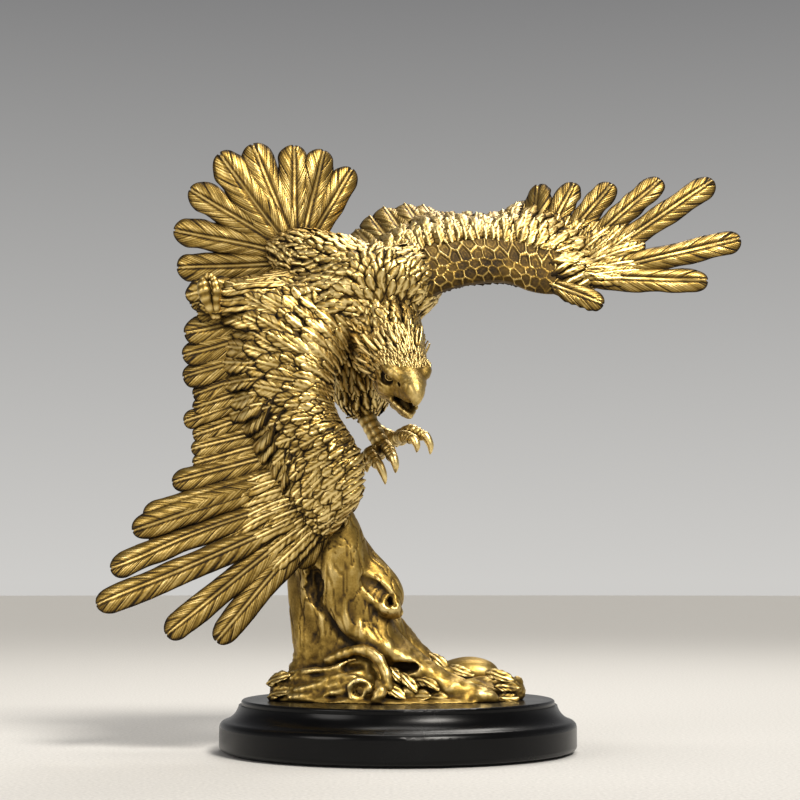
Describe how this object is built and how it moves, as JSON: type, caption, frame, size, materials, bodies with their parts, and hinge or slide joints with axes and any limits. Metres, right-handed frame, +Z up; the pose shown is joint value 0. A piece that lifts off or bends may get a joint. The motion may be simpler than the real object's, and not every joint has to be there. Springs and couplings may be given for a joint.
{
  "type": "eagle statuette",
  "caption": "Table-top statuette of a swooping eagle with spread wings, pinned to a tree stump that is screwed to a round stepped plinth.",
  "frame": {"origin": "centre of the felt's underside, where the statuette stands on a surface", "axes": "+Z up; -Y towards the viewer who faces the eagle's head; +X towards the tip of the eagle's raised left wing"},
  "size_m": [0.2106, 0.115, 0.2002],
  "materials": {
    "bronze": "antique gold bronze with dark recesses",
    "plinth_black": "satin black lacquer",
    "felt": "short black felt",
    "steel": "zinc-plated steel"
  },
  "bodies": {
    "root": {"plinth": "plinth_black", "base_felt": "felt", "stump": "bronze", "body": "bronze", "head": "bronze", "right_wing": "bronze", "left_wing": "bronze", "tail": "bronze", "right_leg": "bronze", "left_leg": "bronze", "base_screws": "steel", "screw_washers": "steel", "right_wing_pins": "steel", "left_wing_pins": "steel", "tail_pins": "steel", "neck_pin": "steel", "leg_pins": "steel", "stump_dowel": "steel"}
  },
  "joints": []
}
